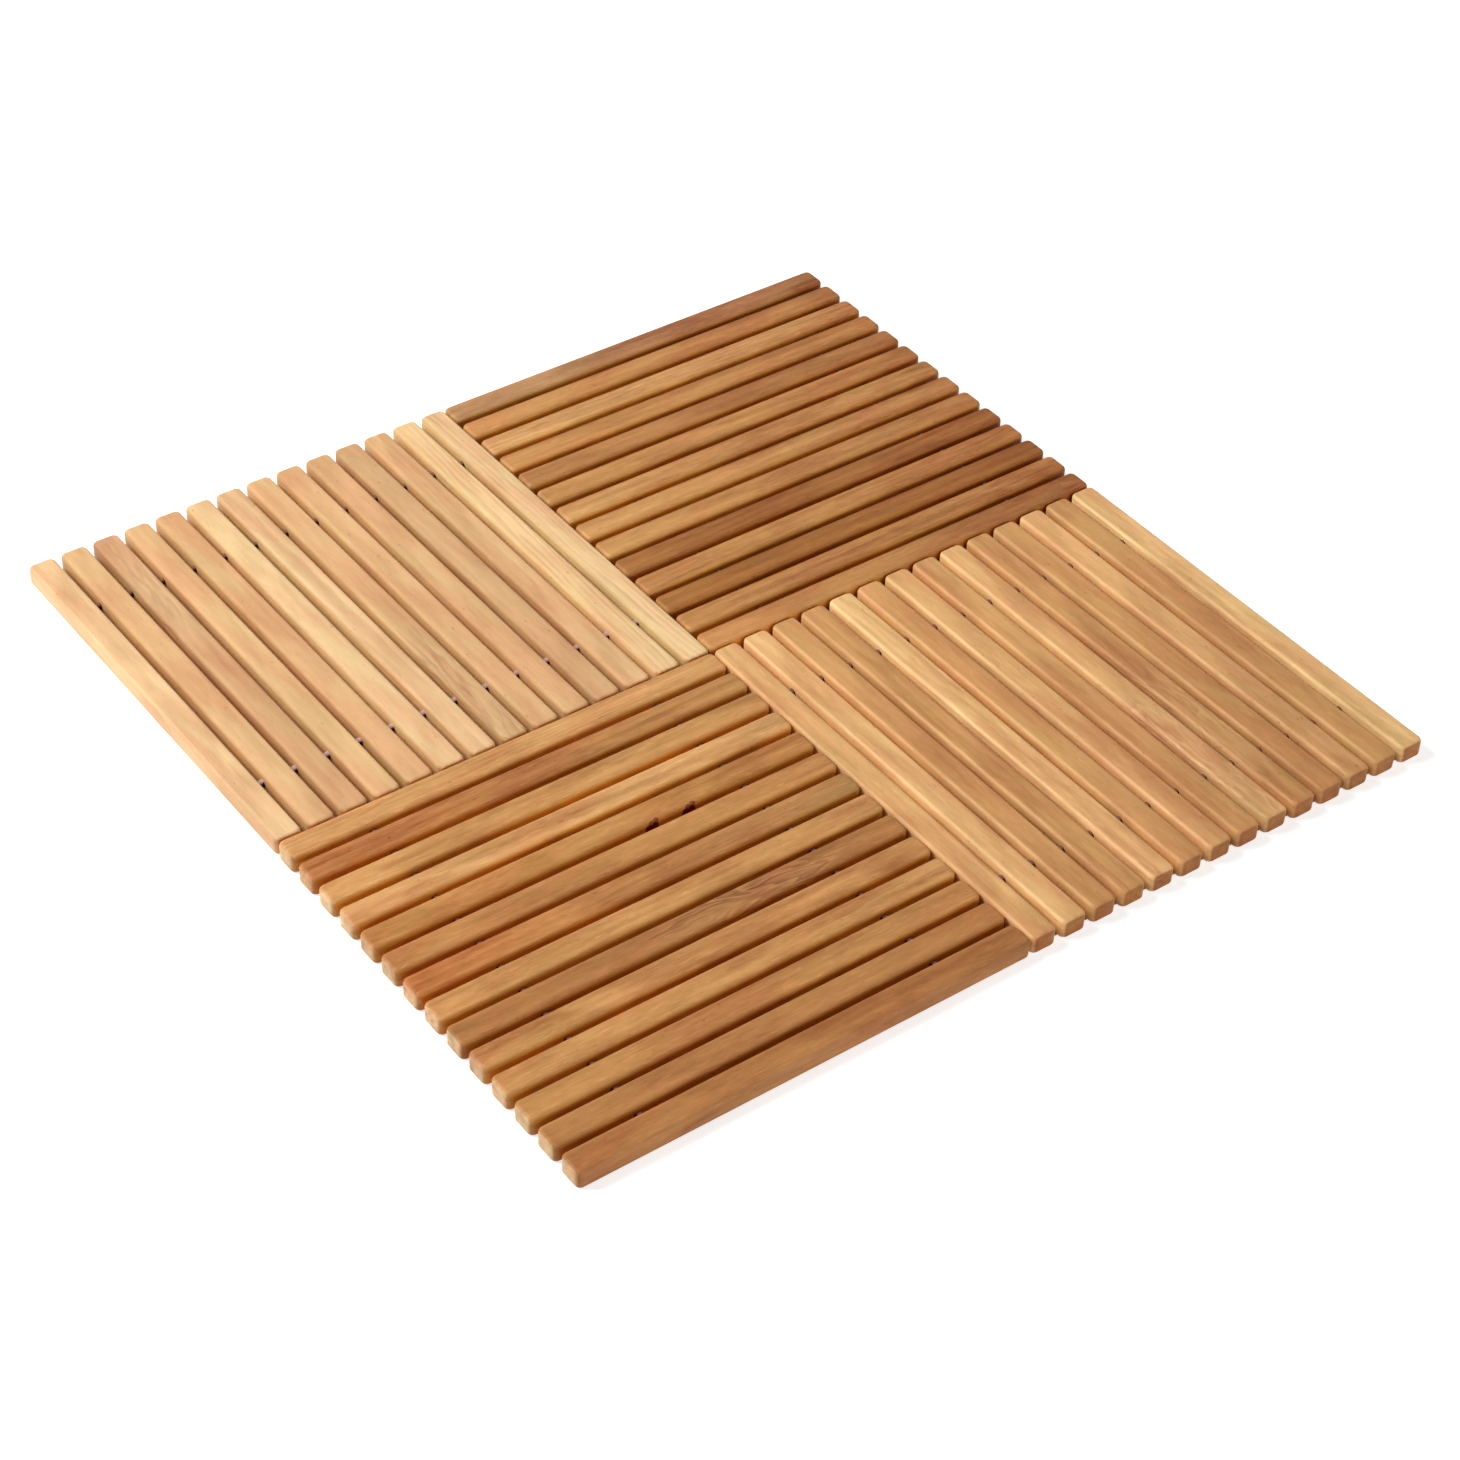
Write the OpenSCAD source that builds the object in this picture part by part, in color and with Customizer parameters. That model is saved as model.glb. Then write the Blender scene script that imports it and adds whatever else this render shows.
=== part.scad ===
// Square bath mat of teak slats. Four square panels are laid in basket weave,
// each turned a quarter turn from the one before it. In each panel the slats are
// threaded on two steel rods, with a rubber spacer on each rod in every gap. Each
// rod runs on into the end grain of the next panel, so the four hold together.

/* [Slats] */
// Width of one slat, across its top face
slat_w = 17.8; // [14:0.1:24]
// Thickness of one slat, which is the height of the mat
slat_t = 13; // [10:0.5:20]
// Number of slats in one panel
slat_count = 14; // [8:1:14]
// Radius of the round-over that runs all round the slat, above and below
edge_r = 2.5; // [0.5:0.1:3.5]
// Radius of the upright corners at the slat ends, seen from above
corner_r = 4; // [3:0.1:6.5]

/* [Gaps] */
// Gap between two slats of a panel, which is the length of one spacer
gap_w = 4.3; // [2:0.1:7]
// Seam between two panels
seam_w = 0.8; // [0.4:0.1:2]

/* [Chips] */
// Radius of the scoop that each of the two chips leaves in the edge of a slat
chip_r = 2.5; // [2:0.5:5]
// How far below the top face the middle of a scoop lies
chip_drop = 1.5; // [1:0.1:4]
// How far a chip tears on along the slat, away from the seam
chip_tear = 3; // [1:0.5:5]
// How much lower the torn end of a chip lies than its middle
chip_slope = 1; // [0.5:0.5:2]
// Which slat of the front panel is chipped, counted from the seam
chip_slat = 5; // [1:1:7]
// Place of the inner chip along its slat, as a share of the length from the seam
inner_chip_share = 0.295; // [0.1:0.005:0.5]
// Place of the outer chip along its slat, as a share of the length from the seam
outer_chip_share = 0.38; // [0.1:0.005:0.9]

/* [Rods and spacers] */
// Diameter of one steel rod
rod_d = 3; // [2.5:0.5:4]
// Clearance all round a rod in its bore
rod_clearance = 0.1; // [0.05:0.05:0.3]
// Which slat a rod lines up with in the next panel, counted from each side
tie_slat = 3; // [2:1:4]
// Depth of the blind bore in the outermost slat
blind_depth = 12; // [8:0.5:13]
// Depth of the bore in the end grain of the next panel
tie_depth = 35; // [20:1:40]
// Room left beyond each rod end
end_clearance = 0.5; // [0.2:0.1:1]
// Outer diameter of one rubber spacer
spacer_d = 5; // [5:0.5:9]

/* [Hidden] */
$fn = 48;
// Distance from one slat to the next
pitch = slat_w + gap_w;
// A panel is as wide as its slats are long, so that it is square
slat_l = slat_count * slat_w + (slat_count - 1) * gap_w;
// Mid-height of the mat, where the rods run
mid_z = slat_t / 2;
// Diameter of every rod bore
bore_d = rod_d + 2 * rod_clearance;
// How far a cut runs past the face that it opens
overrun = 1;
// Panels in the order of their quarter turns
PANELS = ["front", "right", "back", "left"];
// Where the two rods of a panel cross its slats: slats of the next panel
ROD_SLATS = [tie_slat, slat_count + 1 - tie_slat];
// Wood tones, from the reddish slats to the pale ones
TEAK_TONES = ["#b97b43", "#c48a4f", "#cd975a", "#dba96c"];
// How the lightness of the four panels differs, in steps of tone
PANEL_STEPS = [0, 2, 1, 3];

// Slats are numbered from the middle seam out to the edge of the mat
function slat_name(p, n) = str(PANELS[p], "_slat_", n < 10 ? "0" : "", n);
// Distance of a slat's centre line from the middle of the mat
function slat_at(n) = seam_w / 2 + slat_w / 2 + (n - 1) * pitch;
function slat_tone(p, n) = TEAK_TONES[(PANEL_STEPS[p] + n * n) % len(TEAK_TONES)];
function is_tied(n) = n == ROD_SLATS[0] || n == ROD_SLATS[1];

// The front panel is drawn as it lies, and the others are turned from it
module in_panel(p) {
    rotate([0, 0, 90 * p]) children();
}

// A cross-section of the slat, of any width, with its four corners rounded over
module eased_section(width) {
    square([width - 2 * edge_r, slat_t], center = true);
    square([width, slat_t - 2 * edge_r], center = true);
    for (x = [-1, 1], y = [-1, 1])
        translate([x * (width / 2 - edge_r), y * (slat_t / 2 - edge_r)]) circle(edge_r);
}

// One upright corner of a slat, turned as a round with the same round-over
module eased_corner() {
    rotate_extrude()
        intersection() {
            eased_section(2 * corner_r);
            translate([0, -slat_t]) square([2 * corner_r, 2 * slat_t]);
        }
}

// One slat with all its edges eased, centred, lying along X
module slat_blank() {
    rotate([90, 0, 90])
        linear_extrude(slat_l - 2 * corner_r, center = true)
            eased_section(slat_w);
    rotate([90, 0, 0])
        linear_extrude(slat_w - 2 * corner_r, center = true)
            eased_section(slat_l);
    for (x = [-1, 1], y = [-1, 1])
        translate([x * (slat_l / 2 - corner_r), y * (slat_w / 2 - corner_r), 0])
            eased_corner();
}

// Bores for the panel's own two rods, blind in the outermost slat
module rod_bores(n) {
    outer_y = n == slat_count ? -(slat_at(n) - slat_w / 2 + blind_depth) : -(slat_at(n) + slat_w / 2 + overrun);
    inner_y = -(slat_at(n) - slat_w / 2 - overrun);
    for (k = ROD_SLATS)
        translate([-slat_at(k), outer_y, mid_z])
            rotate([-90, 0, 0])
                cylinder(d = bore_d, h = inner_y - outer_y);
}

// Bore in the end grain, for a rod that comes from the neighbouring panel
module tie_bore(n) {
    translate([-(seam_w / 2 + tie_depth), -slat_at(n), mid_z])
        rotate([0, 90, 0])
            cylinder(d = bore_d, h = tie_depth + overrun);
}

// The two chips in the top edge of one front slat, on its side away from the seam
module chips() {
    for (share = [inner_chip_share, outer_chip_share])
        translate([
            -(seam_w / 2 + share * slat_l),
            -(slat_at(chip_slat) + slat_w / 2),
            slat_t - chip_drop
        ]) {
            sphere(chip_r);
            translate([-chip_tear, 0, -chip_slope]) sphere(chip_r);
        }
}

module slat(p, n) {
    color(slat_tone(p, n))
        in_panel(p)
            difference() {
                translate([-(seam_w + slat_l) / 2, -slat_at(n), mid_z]) slat_blank();
                rod_bores(n);
                if (is_tied(n)) tie_bore(n);
                if (slat_name(p, n) == slat_name(0, chip_slat)) chips();
            }
}

// Two rods a panel, from the blind bore across the seam into the next panel
module tie_rods() {
    outer_y = -(slat_at(slat_count) - slat_w / 2 + blind_depth - end_clearance);
    inner_y = seam_w / 2 + tie_depth - end_clearance;
    color("#b9bcc0")
        for (p = [0 : len(PANELS) - 1], k = ROD_SLATS)
            in_panel(p)
                translate([-slat_at(k), outer_y, mid_z])
                    rotate([-90, 0, 0])
                        cylinder(d = rod_d, h = inner_y - outer_y);
}

// One rubber spacer on each rod in every gap, squeezed between two slats
module gap_spacers() {
    color("#1d1b1a")
        for (p = [0 : len(PANELS) - 1], k = ROD_SLATS, n = [1 : slat_count - 1])
            in_panel(p)
                translate([-slat_at(k), -(slat_at(n) + slat_w / 2), mid_z])
                    rotate([90, 0, 0])
                        difference() {
                            cylinder(d = spacer_d, h = gap_w);
                            translate([0, 0, -overrun])
                                cylinder(d = bore_d, h = gap_w + 2 * overrun);
                        }
}

for (p = [0 : len(PANELS) - 1], n = [1 : slat_count])
    slat(p, n);
tie_rods();
gap_spacers();
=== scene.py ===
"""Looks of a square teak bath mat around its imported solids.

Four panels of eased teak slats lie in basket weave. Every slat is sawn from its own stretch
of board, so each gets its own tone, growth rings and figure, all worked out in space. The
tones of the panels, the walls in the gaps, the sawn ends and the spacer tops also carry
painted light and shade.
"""
import math

import bpy
from mathutils import Matrix, Vector


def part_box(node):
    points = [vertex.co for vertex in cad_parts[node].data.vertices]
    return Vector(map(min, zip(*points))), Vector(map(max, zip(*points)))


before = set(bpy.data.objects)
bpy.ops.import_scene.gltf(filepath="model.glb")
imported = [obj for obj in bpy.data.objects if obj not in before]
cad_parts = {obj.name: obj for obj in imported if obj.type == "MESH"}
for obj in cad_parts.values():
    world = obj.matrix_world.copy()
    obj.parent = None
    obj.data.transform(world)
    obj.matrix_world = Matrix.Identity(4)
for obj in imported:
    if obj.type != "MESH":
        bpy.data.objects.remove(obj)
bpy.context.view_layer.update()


# Teak slats
# The mat is 56 slats of solid teak, planed, eased along every edge and sanded, with a thin
# coat of oil. The figure shows on the faces as lines and on the sawn ends as arcs, because
# both come from the same growth rings.

PANEL_TURNS = {"front": 0, "right": 1, "back": 2, "left": 3}
MM = 0.001


def linear(hex_code):
    """A colour written as on a paint card, as the linear values that a shader takes."""
    parts = [int(hex_code[i : i + 2], 16) / 255 for i in (1, 3, 5)]
    return [p / 12.92 if p <= 0.04045 else ((p + 0.055) / 1.055) ** 2.4 for p in parts] + [1]


# Tones of sanded teak, from pale sapwood to the darkest heartwood; the palest, used in the left
# panel, also carry painted sheen
TONES = {
    "ivory": "#facd95",
    "straw": "#f3c892",
    "maize": "#f2be80",
    "cream": "#edbf8c",
    "wheat": "#ecb478",
    "peach": "#e7b681",
    "honey": "#e4ab70",
    "sand": "#dba978",
    "oat": "#d99f64",
    "tan": "#d2985e",
    "amber": "#ca8f55",
    "ginger": "#c4884f",
    "copper": "#bf824a",
    "russet": "#b67a45",
    "hazel": "#b17541",
    "umber": "#a76a34",
    "bark": "#a1652f",
    "cocoa": "#b68053",
}

SLAT_COUNT = 14
# The tone of each slat, counted from the middle of the mat out to its edge. From slat to slat
# the tones differ as the wood does; from panel to panel they also carry painted sheen and light:
# the left panel, nearest the lamp, is palest, the back panel darkest.
SLAT_TONES = {
    "front": (
        "tan copper amber oat ginger ginger copper "
        "amber hazel amber amber ginger russet hazel"
    ),
    "right": (
        "honey wheat oat tan maize oat honey "
        "oat honey tan tan honey tan maize"
    ),
    "back": (
        "russet copper bark copper umber ginger ginger "
        "amber copper hazel copper tan copper cocoa"
    ),
    "left": (
        "straw ivory peach sand peach peach peach "
        "cream straw peach peach sand peach cream"
    ),
}

# The figure of each slat in the same order: plain, lined, streaked, clouded, wavy or flamed
SLAT_FIGURES = {
    "front": "l s c c p p s l f c l p p p",
    "right": "l p p s l p p p w w p p p l",
    "back": "p s p l l p p p l p p l p c",
    "left": "l l c p p p w l p p p w p c",
}

# How strong the ring lines, the streaks, the clouds and the waves are in each figure
FIGURES = {
    "p": (0.04, 0.7, 0.8, 0.0),
    "l": (0.28, 1.0, 0.7, 0.0),
    "s": (0.08, 1.7, 0.8, 0.0),
    "c": (0.05, 0.9, 1.15, 0.0),
    "w": (0.08, 0.9, 0.9, 0.4),
    "f": (0.06, 0.6, 0.7, 1.0),
}

# How fast the wood pales towards the seam, as painted light falling off from the lamp on the
# left: in each panel, and in the slats that differ
PALING = {"front": -0.35, "right": 0.9, "back": 2.1, "left": 0.0}
ODD_PALING = {
    ("front", 3): -1.6,
    ("right", 12): 2.6,
    ("back", 1): 4.2,
    ("back", 14): 3.2,
    ("left", 7): -1.6,
}

# How fast the wood reddens away from the seam
REDDENING = {"front": 0.1, "right": 0.0, "back": 0.35, "left": 0.0}
ODD_REDDENING = {("front", 2): 0.6, ("front", 7): 1.0, ("back", 14): 0.8}

# Where the flame lies along its slat, from the middle of the slat towards the seam
FLAME_PLACES = {
    ("front", 9): 40 * MM,
    ("right", 9): -85 * MM,
    ("right", 10): -60 * MM,
    ("left", 7): 100 * MM,
    ("left", 12): -95 * MM,
}

# How strong the streaks, clouds and mottle are in each panel, against the figure's own measure
PANEL_DEPTHS = {"front": 1.0, "right": 0.85, "back": 1.0, "left": 0.6}
MOTTLE = 0.65

# How plainly the fibre, its light flecks and bands as wide as a finger show: more on the two
# darker panels
FIBRES = {"front": 0.85, "right": 0.38, "back": 1.0, "left": 0.18}
FLECKS = {"front": 0.42, "right": 0.24, "back": 0.42, "left": 0.10}
BANDS = {"front": 1.2, "right": 0.7, "back": 1.6, "left": 0.4}

# How the walls inside the gaps differ from the tone of the top face, which is painted light
# and shade, and how far up the round-over that reaches. The first of each pair is for the wall
# away from the middle of the mat. No wood is lighter than LIGHTEST_WOOD.
WALL_TINTS = {
    "front": ((1.0, 0.93, 0.43), (1.15, 1.07, 0.5)),
    "right": ((1.06, 1.06, 0.85), (1.08, 1.2, 1.28)),
    "back": ((0.86, 0.74, 0.34), (1.2, 1.12, 0.5)),
    "left": ((0.8, 0.81, 0.74), (1.25, 1.22, 1.2)),
}
WALL_REACHES = {
    "front": (1.2 * MM, 1.2 * MM),
    "right": (2.4 * MM, 2.4 * MM),
    "back": (3.0 * MM, 1.2 * MM),
    "left": (2.4 * MM, 2.4 * MM),
}
LIGHTEST_WOOD = (0.97, 0.97, 0.97)

# The sawn ends have a tone of their own, painted paler as painted light on the lit side of the
# mat, and darker where they turn from the lamp
END_TONES = {"front": "#d8b082", "right": "#a7682f", "back": "#b07a45", "left": "#c08a52"}

# Length along the grain and width across it of each kind of mark, in mm
MARK_SIZES = {
    "bend": (110, 30),
    "swirl": (45, 10),
    "ripple": (30, 8),
    "faint ring": (90, 6),
    "band": (340, 8.5),
    "streak": (70, 3.4),
    "cloud": (75, 16),
    "mottle": (22, 6.5),
    "blot": (9, 2.6),
    "fibre": (12, 0.8),
    "pore": (7, 0.5),
    "fleck": (10, 1.2),
    "speck": (3.5, 1.4),
    "blush": (100, 16),
}

# How far the bends, swirls and ripples push the growth rings aside
BEND_PUSH = 9 * MM
SWIRL_PUSH = 35 * MM
RIPPLE_PUSH = 1.2 * MM

# How dark each mark is that is the same in every slat
FLAME_LINES = 0.85
FLAME_SHADE = 0.05
PORE_SHADE = 0.10
SPECK_SHADE = 0.6
# Blots are this strong for each unit of fibre
BLOT_SHARE = 0.6
FIBRE_HEIGHT = 0.06 * MM

# What darkness, the pinkish clouds, the flame and the reddening do to red, green and blue
DARKENING = (-0.42, -0.53, -0.64)
BLUSH_TINT = (-0.02, -0.16, -0.14)
FLAME_TINT = (-0.05, 0.0, 0.13)
REDDENING_TINT = (-0.2, 0.8, 1.3)


def new_group(name, inputs, outputs):
    """An empty shader group with these named sockets, and its two end nodes."""
    tree = bpy.data.node_groups.new(name, "ShaderNodeTree")
    for way, sockets in (("INPUT", inputs), ("OUTPUT", outputs)):
        for label, kind, value in sockets:
            socket = tree.interface.new_socket(label, in_out=way, socket_type="NodeSocket" + kind)
            if value is not None:
                socket.default_value = value
    return tree, tree.nodes.new("NodeGroupInput"), tree.nodes.new("NodeGroupOutput")


def fill(tree, socket, value):
    """Links a socket to a socket, or sets it to a constant."""
    if isinstance(value, bpy.types.NodeSocket):
        tree.links.new(value, socket)
    else:
        socket.default_value = value


def maths(tree, operation, *values):
    """One sum in a node tree. Values are numbers or sockets."""
    node = tree.nodes.new("ShaderNodeMath")
    node.operation = operation
    for socket, value in zip(node.inputs, values):
        fill(tree, socket, value)
    return node.outputs["Value"]


def vector_maths(tree, operation, *values):
    """One sum on vectors in a node tree. Values are triples or sockets."""
    node = tree.nodes.new("ShaderNodeVectorMath")
    node.operation = operation
    for socket, value in zip(node.inputs, values):
        fill(tree, socket, value)
    return node.outputs["Vector"]


def length(tree, vector):
    """The length of a vector in a node tree."""
    node = tree.nodes.new("ShaderNodeVectorMath")
    node.operation = "LENGTH"
    tree.links.new(vector, node.inputs[0])
    return node.outputs["Value"]


def noise(tree, vector, detail=2.0, roughness=0.5, distortion=0.0):
    """A smooth noise over a vector, about zero and mostly within a half."""
    node = tree.nodes.new("ShaderNodeTexNoise")
    node.inputs["Scale"].default_value = 1.0
    node.inputs["Detail"].default_value = detail
    node.inputs["Roughness"].default_value = roughness
    node.inputs["Distortion"].default_value = distortion
    tree.links.new(vector, node.inputs["Vector"])
    return maths(tree, "SUBTRACT", node.outputs["Fac"], 0.5)


def stretched(tree, vector, mark, offset, turn=0.0):
    """The vector counted in marks of this kind, moved by offset and turned from the grain."""
    along, across = (size * MM for size in MARK_SIZES[mark])
    node = tree.nodes.new("ShaderNodeMapping")
    node.inputs["Scale"].default_value = (1 / along, 1 / across, 1 / across)
    if turn:
        rotate = tree.nodes.new("ShaderNodeVectorRotate")
        rotate.inputs["Axis"].default_value = (0, 0, 1)
        rotate.inputs["Angle"].default_value = turn
        tree.links.new(vector, rotate.inputs["Vector"])
        vector = rotate.outputs["Vector"]
    tree.links.new(vector, node.inputs["Vector"])
    tree.links.new(offset, node.inputs["Location"])
    return node.outputs["Vector"]


def remap(tree, value, low, high, to_low=0.0, to_high=1.0, smooth=True):
    """Value taken from low..high to to_low..to_high, and held at the ends."""
    node = tree.nodes.new("ShaderNodeMapRange")
    node.interpolation_type = "SMOOTHSTEP" if smooth else "LINEAR"
    ends = {"From Min": low, "From Max": high, "To Min": to_low, "To Max": to_high}
    for label, number in ends.items():
        fill(tree, node.inputs[label], number)
    tree.links.new(value, node.inputs["Value"])
    return node.outputs["Result"]


def blend(tree, factor, first, second):
    """Two colours mixed by factor."""
    node = tree.nodes.new("ShaderNodeMix")
    node.data_type = "RGBA"
    for label, value in (("Factor_Float", factor), ("A_Color", first), ("B_Color", second)):
        fill(tree, next(s for s in node.inputs if s.identifier == label), value)
    return next(s for s in node.outputs if s.identifier == "Result_Color")


def teak_figure():
    """Growth rings, streaks, clouds, flame and pores of one board, with the grain along X."""
    tree, given, result = new_group(
        "Teak figure",
        [
            ("Place", "Vector", None),
            ("Tone", "Color", (0.6, 0.35, 0.15, 1)),
            ("End tone", "Color", (0.5, 0.25, 0.1, 1)),
            ("Board", "Vector", (0, 0, 0)),
            ("Pith across", "Float", 0.06),
            ("Pith below", "Float", 0.05),
            ("Run-out", "Float", 0.02),
            ("Ring width", "Float", 0.004),
            ("Lines", "Float", 0.3),
            ("Streaks", "Float", 0.4),
            ("Clouds", "Float", 0.5),
            ("Mottle", "Float", 0.6),
            ("Flame", "Float", 0.0),
            ("Flame place", "Float", 0.0),
            ("Fibre", "Float", 0.3),
            ("Flecks", "Float", 0.2),
            ("Bands", "Float", 0.8),
            ("Paling", "Float", 0.0),
            ("Reddening", "Float", 0.0),
            ("Outer wall tint", "Vector", (1, 1, 1)),
            ("Inner wall tint", "Vector", (1, 1, 1)),
            ("Outer wall reach", "Float", 0.0015),
            ("Inner wall reach", "Float", 0.0015),
            ("Half width", "Float", 0.009),
            ("Half length", "Float", 0.15),
            ("Outermost", "Float", 0.0),
        ],
        [("Color", "Color", None), ("Roughness", "Float", None), ("Height", "Float", None)],
    )
    place, board = given.outputs["Place"], given.outputs["Board"]
    split = tree.nodes.new("ShaderNodeSeparateXYZ")
    tree.links.new(place, split.inputs["Vector"])
    along, across, up = split.outputs

    # Distance from the pith, bent by slow waves in the grain, counted in rings
    side = maths(tree, "SUBTRACT", across, given.outputs["Pith across"])
    rise = maths(tree, "ADD", up, given.outputs["Pith below"])
    squares = maths(tree, "MULTIPLY_ADD", side, side, maths(tree, "MULTIPLY", rise, rise))
    radius = maths(tree, "SQRT", squares)
    radius = maths(tree, "MULTIPLY_ADD", along, given.outputs["Run-out"], radius)
    bend = noise(tree, stretched(tree, place, "bend", board))
    radius = maths(tree, "MULTIPLY_ADD", bend, BEND_PUSH, radius)

    # Near one place the grain swirls in long loops, and the wood there is greyer
    near = maths(tree, "ABSOLUTE", maths(tree, "SUBTRACT", along, given.outputs["Flame place"]))
    near = remap(tree, near, 30 * MM, 100 * MM, 1.0, 0.0)
    near = maths(tree, "MULTIPLY", near, given.outputs["Flame"])
    swirl = noise(tree, stretched(tree, place, "swirl", board, 0.12), 2.0, 0.45, 0.4)
    radius = maths(tree, "MULTIPLY_ADD", swirl, maths(tree, "MULTIPLY", near, SWIRL_PUSH), radius)
    ripple = noise(tree, stretched(tree, place, "ripple", board))
    radius = maths(tree, "MULTIPLY_ADD", ripple, RIPPLE_PUSH, radius)
    rings = maths(tree, "DIVIDE", radius, given.outputs["Ring width"])

    # Each ring darkens slowly, ends at a sharp line, and is fainter in some places
    ring = maths(tree, "FRACT", rings)
    darkening, ending = remap(tree, ring, 0.1, 0.8), remap(tree, ring, 0.8, 1.0, 1.0, 0.0)
    line = maths(tree, "SUBTRACT", maths(tree, "MULTIPLY", darkening, ending), 0.42)
    plain = noise(tree, stretched(tree, place, "faint ring", board), 1.0)
    line = maths(tree, "MULTIPLY", line, remap(tree, plain, -0.2, 0.2, 0.2, 1.4))

    # Bands as wide as a finger, soft streaks, clouds with slanting borders, blots, and the fibre
    band = noise(tree, stretched(tree, place, "band", board), 1.0)
    streak = noise(tree, stretched(tree, place, "streak", board), 2.0, 0.55, 0.35)
    cloud = noise(tree, stretched(tree, place, "cloud", board, 0.13), 1.5, 0.5, 0.5)
    cloud = remap(tree, cloud, -0.16, 0.16, -0.3, 0.3)
    mottle = noise(tree, stretched(tree, place, "mottle", board, -0.2), 2.0, 0.6)
    blot = noise(tree, stretched(tree, place, "blot", board, 0.08), 1.0, 0.5, 0.4)
    blots = maths(tree, "MULTIPLY", given.outputs["Fibre"], BLOT_SHARE)
    fibre = noise(tree, stretched(tree, place, "fibre", board), 2.0, 0.6)
    pore = noise(tree, stretched(tree, place, "pore", board), 1.0)
    pore = remap(tree, pore, 0.12, 0.22)
    fleck = noise(tree, stretched(tree, place, "fleck", board, 0.05), 1.5)
    fleck = remap(tree, fleck, 0.12, 0.2)
    speck = noise(tree, stretched(tree, place, "speck", board), 0.0)
    speck = remap(tree, speck, 0.3, 0.36)

    # All of them add up to how dark a place is against the slat's own tone
    dark = maths(tree, "MULTIPLY_ADD", near, FLAME_LINES, given.outputs["Lines"])
    dark = maths(tree, "MULTIPLY", line, dark)
    dark = maths(tree, "MULTIPLY_ADD", band, given.outputs["Bands"], dark)
    dark = maths(tree, "MULTIPLY_ADD", streak, given.outputs["Streaks"], dark)
    dark = maths(tree, "MULTIPLY_ADD", cloud, given.outputs["Clouds"], dark)
    dark = maths(tree, "MULTIPLY_ADD", mottle, given.outputs["Mottle"], dark)
    dark = maths(tree, "MULTIPLY_ADD", blot, blots, dark)
    dark = maths(tree, "MULTIPLY_ADD", near, FLAME_SHADE, dark)
    dark = maths(tree, "MULTIPLY_ADD", fibre, given.outputs["Fibre"], dark)
    dark = maths(tree, "MULTIPLY_ADD", pore, PORE_SHADE, dark)
    dark = maths(tree, "SUBTRACT", dark, maths(tree, "MULTIPLY", fleck, given.outputs["Flecks"]))
    dark = maths(tree, "MULTIPLY_ADD", speck, SPECK_SHADE, dark)
    # Paling along the slat is painted light
    dark = maths(tree, "SUBTRACT", dark, maths(tree, "MULTIPLY", along, given.outputs["Paling"]))
    tint = vector_maths(tree, "MULTIPLY_ADD", dark, DARKENING, (1, 1, 1))

    # Other clouds drift between a yellow and a pinkish brown
    blush = noise(tree, stretched(tree, place, "blush", board, -0.16), 1.0, 0.5, 0.5)
    blush = remap(tree, blush, -0.2, 0.2, -0.5, 0.5)
    tint = vector_maths(tree, "MULTIPLY_ADD", blush, BLUSH_TINT, tint)
    tint = vector_maths(tree, "MULTIPLY_ADD", near, FLAME_TINT, tint)
    red = maths(tree, "MULTIPLY", along, given.outputs["Reddening"])
    tint = vector_maths(tree, "MULTIPLY_ADD", red, REDDENING_TINT, tint)

    # Walls inside a gap get painted light and shade of their own on each side, the open side of
    # the outermost slat has none, and the sawn ends have their own tone, painted paler on the lit
    # side of the mat
    inset = maths(tree, "SUBTRACT", maths(tree, "ABSOLUTE", across), given.outputs["Half width"])
    outer = maths(tree, "LESS_THAN", across, 0.0)
    inner_reach, outer_reach = given.outputs["Inner wall reach"], given.outputs["Outer wall reach"]
    more = maths(tree, "SUBTRACT", outer_reach, inner_reach)
    reach = maths(tree, "MULTIPLY_ADD", outer, more, inner_reach)
    reach = maths(tree, "MULTIPLY", reach, -1.0)
    flank = remap(tree, inset, reach, maths(tree, "MULTIPLY", reach, 0.3))
    open_side = maths(tree, "MULTIPLY", outer, given.outputs["Outermost"])
    flank = maths(tree, "MULTIPLY", flank, maths(tree, "SUBTRACT", 1.0, open_side))
    inset = maths(tree, "SUBTRACT", maths(tree, "ABSOLUTE", along), given.outputs["Half length"])
    sawn = remap(tree, inset, -1.1 * MM, -0.1 * MM)
    # The painted light and shade of the walls
    painted_wall_light = blend(tree, outer, given.outputs["Inner wall tint"], given.outputs["Outer wall tint"])
    painted_wall_light = vector_maths(tree, "MULTIPLY", given.outputs["Tone"], painted_wall_light)
    painted_wall_light = vector_maths(tree, "MINIMUM", painted_wall_light, LIGHTEST_WOOD)
    tone = blend(tree, flank, given.outputs["Tone"], painted_wall_light)
    tone = blend(tree, sawn, tone, given.outputs["End tone"])
    tree.links.new(vector_maths(tree, "MULTIPLY", tone, tint), result.inputs["Color"])
    tree.links.new(remap(tree, streak, -0.2, 0.2, 0.46, 0.58), result.inputs["Roughness"])

    # The fibre stands up a little, and the pores are open
    height = maths(tree, "MULTIPLY_ADD", pore, -1.0, maths(tree, "MULTIPLY", fibre, 0.5))
    tree.links.new(height, result.inputs["Height"])
    return tree


TEAK_FIGURE = teak_figure()


def seeded(panel, number, use, low, high):
    """A value from low to high, the same in each run, for one slat and one numbered use."""
    place = PANEL_TURNS[panel] * SLAT_COUNT + number
    wave = math.sin(place * 12.9898 + use * 78.233) * 43758.5453
    return low + (high - low) * (wave - math.floor(wave))


def new_finish(name):
    """A fresh material, its node tree and its Principled BSDF."""
    material = bpy.data.materials.new(name)
    material.use_nodes = True
    return material, material.node_tree, material.node_tree.nodes["Principled BSDF"]


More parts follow.
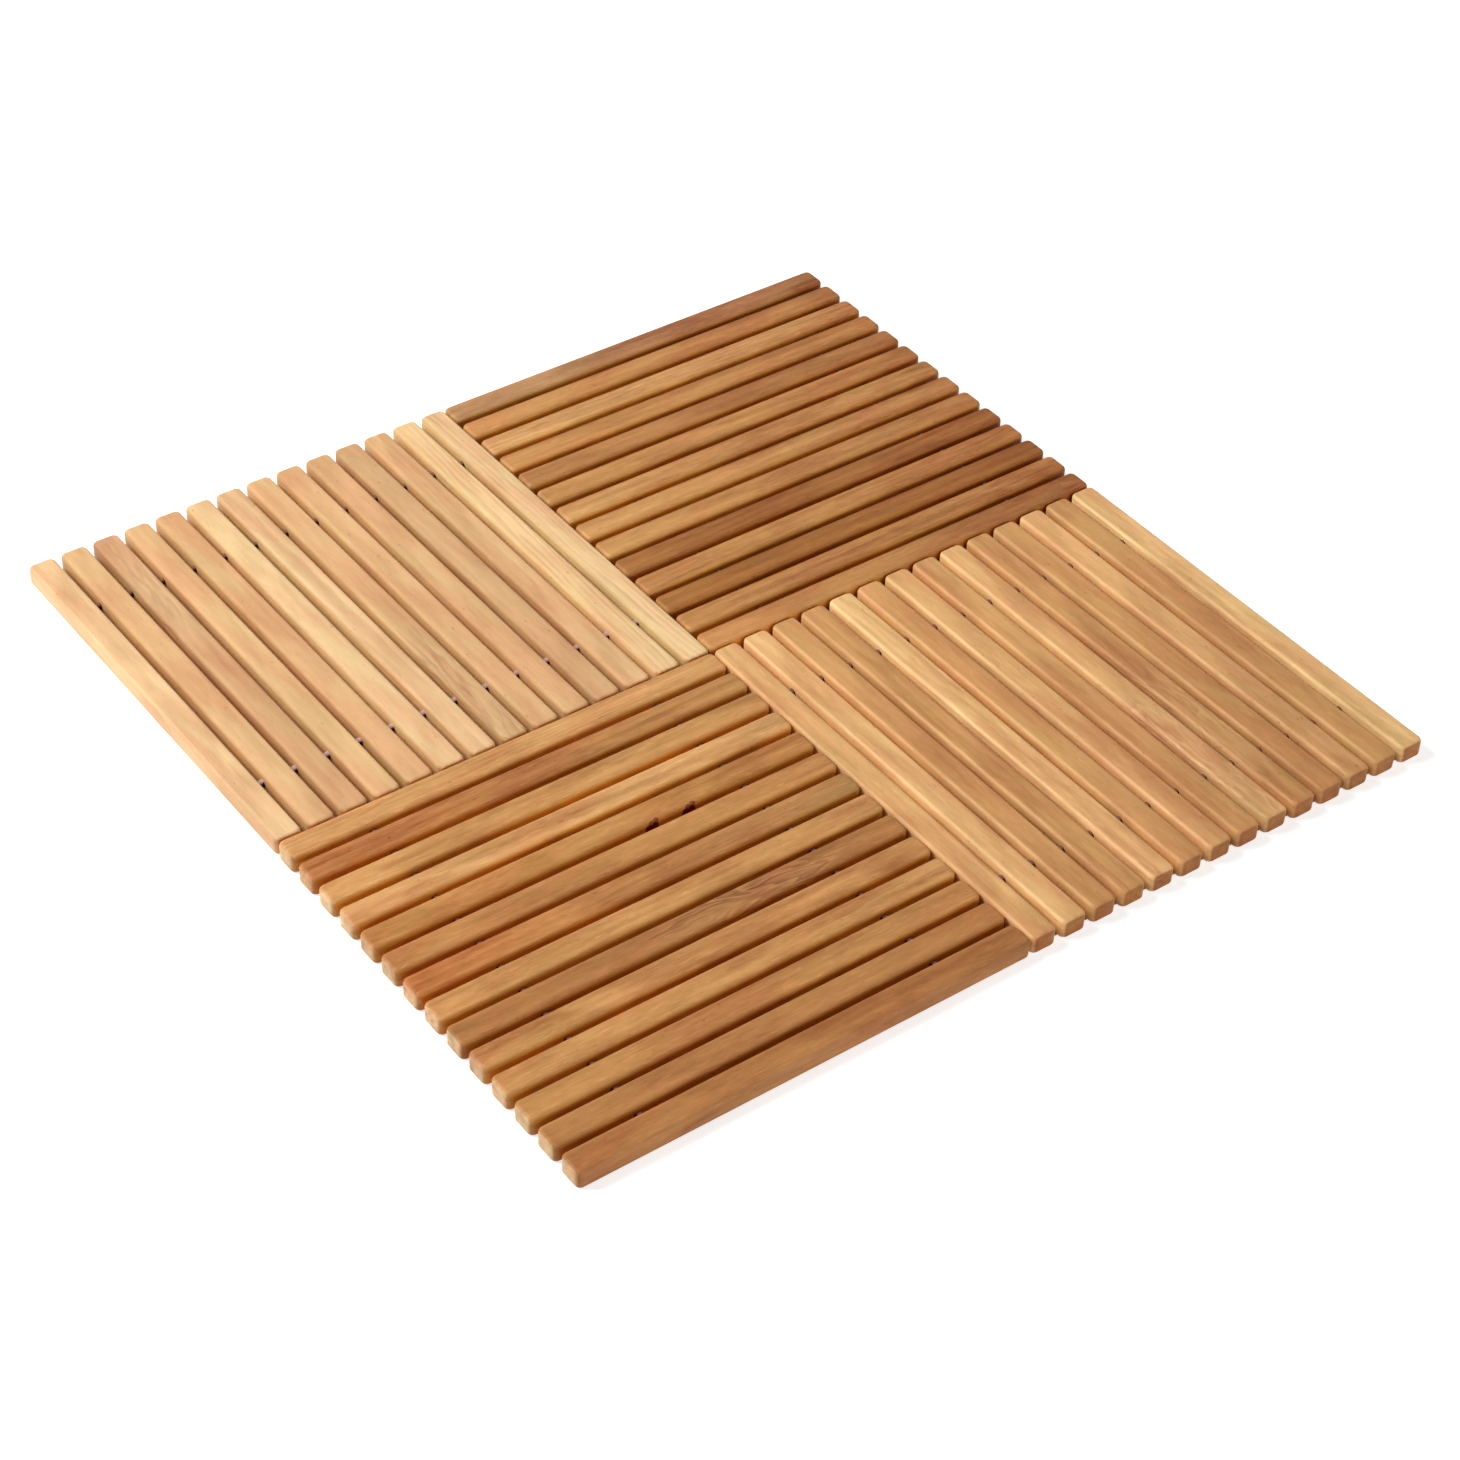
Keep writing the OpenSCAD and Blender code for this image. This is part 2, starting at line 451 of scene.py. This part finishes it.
def teak_material(panel, number, tone, figure):
    """The finish of one slat, in the slat's own space."""
    material, tree, shader = new_finish(f"teak_{panel}_{number:02d}")
    low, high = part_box(f"{panel}_slat_{number:02d}")
    width, span = sorted(high - low)[1:]
    coords = tree.nodes.new("ShaderNodeTexCoord")
    own = tree.nodes.new("ShaderNodeMapping")
    own.vector_type = "TEXTURE"
    own.inputs["Location"].default_value = (low + high) / 2
    own.inputs["Rotation"].default_value = (0, 0, PANEL_TURNS[panel] * math.pi / 2)
    tree.links.new(coords.outputs["Object"], own.inputs["Vector"])
    teak = tree.nodes.new("ShaderNodeGroup")
    teak.node_tree = TEAK_FIGURE
    lines, streaks, clouds, flame = FIGURES[figure]
    flame_place = seeded(panel, number, 8, -50 * MM, 50 * MM)
    for label, value in {
        "Tone": linear(TONES[tone]),
        "End tone": linear(END_TONES[panel]),
        "Board": [seeded(panel, number, use, 0, 40) for use in (1, 2, 3)],
        "Pith across": seeded(panel, number, 4, -70 * MM, 70 * MM),
        "Pith below": seeded(panel, number, 5, 20 * MM, 100 * MM),
        "Run-out": seeded(panel, number, 6, -0.025, 0.025),
        "Ring width": seeded(panel, number, 7, 2.2 * MM, 4.8 * MM),
        "Lines": lines,
        "Streaks": streaks * PANEL_DEPTHS[panel],
        "Clouds": clouds * PANEL_DEPTHS[panel],
        "Mottle": MOTTLE * PANEL_DEPTHS[panel],
        "Flame": flame,
        "Flame place": FLAME_PLACES.get((panel, number), flame_place),
        "Fibre": FIBRES[panel],
        "Flecks": FLECKS[panel],
        "Bands": BANDS[panel],
        "Paling": ODD_PALING.get((panel, number), PALING[panel]),
        "Reddening": ODD_REDDENING.get((panel, number), REDDENING[panel]),
        "Outer wall tint": WALL_TINTS[panel][0],
        "Inner wall tint": WALL_TINTS[panel][1],
        "Outer wall reach": WALL_REACHES[panel][0],
        "Inner wall reach": WALL_REACHES[panel][1],
        "Half width": width / 2,
        "Half length": span / 2,
        "Outermost": float(number == SLAT_COUNT),
    }.items():
        teak.inputs[label].default_value = value
    tree.links.new(own.outputs["Vector"], teak.inputs["Place"])
    tree.links.new(teak.outputs["Color"], shader.inputs["Base Color"])
    tree.links.new(teak.outputs["Roughness"], shader.inputs["Roughness"])
    bump = tree.nodes.new("ShaderNodeBump")
    bump.inputs["Distance"].default_value = FIBRE_HEIGHT
    tree.links.new(teak.outputs["Height"], bump.inputs["Height"])
    tree.links.new(bump.outputs["Normal"], shader.inputs["Normal"])
    shader.inputs["Specular IOR Level"].default_value = 0.25
    return material


for panel in SLAT_TONES:
    looks = zip(SLAT_TONES[panel].split(), SLAT_FIGURES[panel].split())
    for number, (tone, figure) in enumerate(looks, 1):
        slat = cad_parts[f"{panel}_slat_{number:02d}"]
        slat.material_slots[0].material = teak_material(panel, number, tone, figure)


# Chips in one front slat
# Two small pieces have broken out of the top edge of the fifth front slat. The hollows are
# painted nearly black, and the dark runs down the wall under each chip and out along its tear.

CHIP_RADIUS = 2.5 * MM
DARK_EDGE = 1.1 * MM
# In mm: where the two chips lie along the slat, the wall they are in, and three places down
# each tear, as the run from the chip's middle and the height
CHIPS_X = (-90.4, -116.3)
CHIPS_Y = -106.6
TEAR = ((0, 11.5), (-3, 10.5), (-5.5, 9))

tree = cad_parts["front_slat_05"].material_slots[0].material.node_tree
coords = next(n for n in tree.nodes if n.bl_idname == "ShaderNodeTexCoord")
shader = tree.nodes["Principled BSDF"]
nearest = 1.0
for centre in [Vector((x + run, CHIPS_Y, z)) * MM for x in CHIPS_X for run, z in TEAR]:
    away = vector_maths(tree, "SUBTRACT", coords.outputs["Object"], centre)
    # Below the middle of a chip only the distance to its upright counts
    away = vector_maths(tree, "MAXIMUM", away, (-1, -1, 0))
    nearest = maths(tree, "MINIMUM", nearest, length(tree, away))
torn = remap(tree, nearest, CHIP_RADIUS - DARK_EDGE, CHIP_RADIUS, 1.0, 0.0)
sound = shader.inputs["Base Color"].links[0].from_socket
tree.links.new(blend(tree, torn, sound, linear("#6a0804")), shader.inputs["Base Color"])
shader.inputs["Specular IOR Level"].default_value = 0.1


# Rubber spacers
# A short black rubber tube sits on each rod in every gap and keeps the slats apart, so that
# water drains and the wood dries. Only their tops show, deep in the gaps, with a painted
# highlight on the rubber that faces up, palest in the left panel, on the row near the seam.

# Patches in the painted highlight, counted in each metre, and how far they move its edge
PATCHES = 900
PATCH_SHARE = 0.3
# The row where the painted highlight is palest, in Y
ROW_MIDDLE = 54 * MM
ROW_HALF = 10 * MM

rubber, tree, shader = new_finish("spacer_rubber_sheen")
facing = tree.nodes.new("ShaderNodeNewGeometry")
split = tree.nodes.new("ShaderNodeSeparateXYZ")
tree.links.new(facing.outputs["Normal"], split.inputs["Vector"])
coords = tree.nodes.new("ShaderNodeTexCoord")
# Rubber that faces up is painted paler: a painted highlight
patchy = vector_maths(tree, "MULTIPLY", coords.outputs["Object"], 3 * [PATCHES])
top_sheen = maths(tree, "MULTIPLY_ADD", noise(tree, patchy), PATCH_SHARE, split.outputs["Z"])
top_sheen = remap(tree, top_sheen, 0.5, 0.9)
spot = tree.nodes.new("ShaderNodeSeparateXYZ")
tree.links.new(coords.outputs["Object"], spot.inputs["Vector"])
pale_row = maths(tree, "COMPARE", spot.outputs["Y"], ROW_MIDDLE, ROW_HALF)
pale_row = maths(tree, "MULTIPLY", pale_row, maths(tree, "LESS_THAN", spot.outputs["X"], 0.0))
sheen_colour = blend(tree, pale_row, linear("#8e6250"), linear("#c6a4a6"))
tree.links.new(blend(tree, top_sheen, linear("#33180f"), sheen_colour), shader.inputs["Base Color"])
tree.links.new(remap(tree, top_sheen, 0.0, 1.0, 0.35, 0.6), shader.inputs["Roughness"])
shader.inputs["Specular IOR Level"].default_value = 0.15
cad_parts["gap_spacers"].material_slots[0].material = rubber


# Steel rods
# Eight drawn stainless rods thread the slats and tie each panel to the next. They stay
# hidden inside the wood and the spacers.

steel, tree, shader = new_finish("rod_steel_drawn")
shader.inputs["Base Color"].default_value = linear("#b9bcc0")
shader.inputs["Metallic"].default_value = 1.0
shader.inputs["Roughness"].default_value = 0.35
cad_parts["tie_rods"].material_slots[0].material = steel


# Floor, light and camera
# The mat lies on a plain white floor, lit by one wide lamp from the left and behind, and a
# weak one from the front. The camera stands in front of the mat's nearest corner.

FLOOR_SIZE = 8.0
FLOOR_DROP = 0.05 * MM
# Half the side of the square under the mat where the floor lies in plain shadow
SHADE_HALF = 0.3
# The floor's glow, near the mat and away from it, and how far out each is reached
GLOW_NEAR, GLOW_FAR = 0.66, 1.0
NEAR_REACH, FAR_REACH = 0.35, 1.3
WORLD_FILL = 0.10


def seen_directly(tree):
    """1 for rays from the camera, also by way of gloss or glass, and 0 for the rest."""
    path = tree.nodes.new("ShaderNodeLightPath")
    seen = maths(tree, "MAXIMUM", path.outputs["Is Camera Ray"], path.outputs["Is Glossy Ray"])
    return maths(tree, "MAXIMUM", seen, path.outputs["Is Transmission Ray"])


bpy.ops.mesh.primitive_plane_add(size=FLOOR_SIZE, location=(0, 0, -FLOOR_DROP))
floor = bpy.context.object
floor.name = "floor"
white, tree, shader = new_finish("floor_white")
shader.inputs["Base Color"].default_value = (0.8, 0.8, 0.79, 1)
shader.inputs["Roughness"].default_value = 0.9
shader.inputs["Specular IOR Level"].default_value = 0.0
shader.inputs["Emission Color"].default_value = (1, 1, 1, 1)
coords = tree.nodes.new("ShaderNodeTexCoord")
away = length(tree, coords.outputs["Object"])
glow = remap(tree, away, NEAR_REACH, FAR_REACH, GLOW_NEAR, GLOW_FAR)
sides = tree.nodes.new("ShaderNodeSeparateXYZ")
tree.links.new(vector_maths(tree, "ABSOLUTE", coords.outputs["Object"]), sides.inputs["Vector"])
bare = maths(tree, "MAXIMUM", sides.outputs["X"], sides.outputs["Y"])
bare = maths(tree, "GREATER_THAN", bare, SHADE_HALF)
glow = maths(tree, "MULTIPLY", glow, bare)
glow = maths(tree, "MULTIPLY", seen_directly(tree), glow)
tree.links.new(glow, shader.inputs["Emission Strength"])
floor.data.materials.append(white)

world = bpy.data.worlds.new("studio")
bpy.context.scene.world = world
world.use_nodes = True
tree = world.node_tree
background = tree.nodes["Background"]
background.inputs["Color"].default_value = (1, 1, 1, 1)
strength = remap(tree, seen_directly(tree), 0, 1, WORLD_FILL, 1.0, False)
tree.links.new(strength, background.inputs["Strength"])


def soft_lamp(name, towards, distance, size, level):
    """A wide square lamp that gives a level floor this share of a full white."""
    ray = Vector(towards).normalized()
    light = bpy.data.lights.new(name, "AREA")
    light.size = size
    light.energy = level * math.pi**2 * distance**2 / ray.z
    lamp = bpy.data.objects.new(name, light)
    bpy.context.scene.collection.objects.link(lamp)
    lamp.location = ray * distance
    lamp.rotation_euler = ray.to_track_quat("Z", "Y").to_euler()


soft_lamp("key", (-0.58, 0.43, 0.70), 3.0, 1.5, 0.74)
soft_lamp("front", (0.25, -0.95, 0.22), 5.0, 3.0, 0.12)

AZIMUTH = math.radians(-37.69)
ELEVATION = math.radians(40.75)
ROLL = math.radians(2.39)
DISTANCE = 2.0014
TARGET = Vector((-0.0253, -0.0546, 0))
FOCAL_PIXELS = 3337
IMAGE_PIXELS = 1460
SENSOR = 36
back = Vector((
    math.sin(AZIMUTH) * math.cos(ELEVATION),
    -math.cos(AZIMUTH) * math.cos(ELEVATION),
    math.sin(ELEVATION),
))
right = (-back).cross(Vector((0, 0, 1))).normalized()
up = right.cross(-back)
rolled_right = math.cos(ROLL) * right + math.sin(ROLL) * up
rolled_up = math.cos(ROLL) * up - math.sin(ROLL) * right
camera_data = bpy.data.cameras.new("camera")
camera_data.sensor_width = SENSOR
camera_data.lens = FOCAL_PIXELS / IMAGE_PIXELS * SENSOR
camera = bpy.data.objects.new("camera", camera_data)
bpy.context.scene.collection.objects.link(camera)
camera.matrix_world = Matrix.Translation(TARGET + DISTANCE * back) @ Matrix(
    (rolled_right, rolled_up, back)
).transposed().to_4x4()
bpy.context.scene.camera = camera

bpy.context.scene.view_settings.view_transform = "Standard"
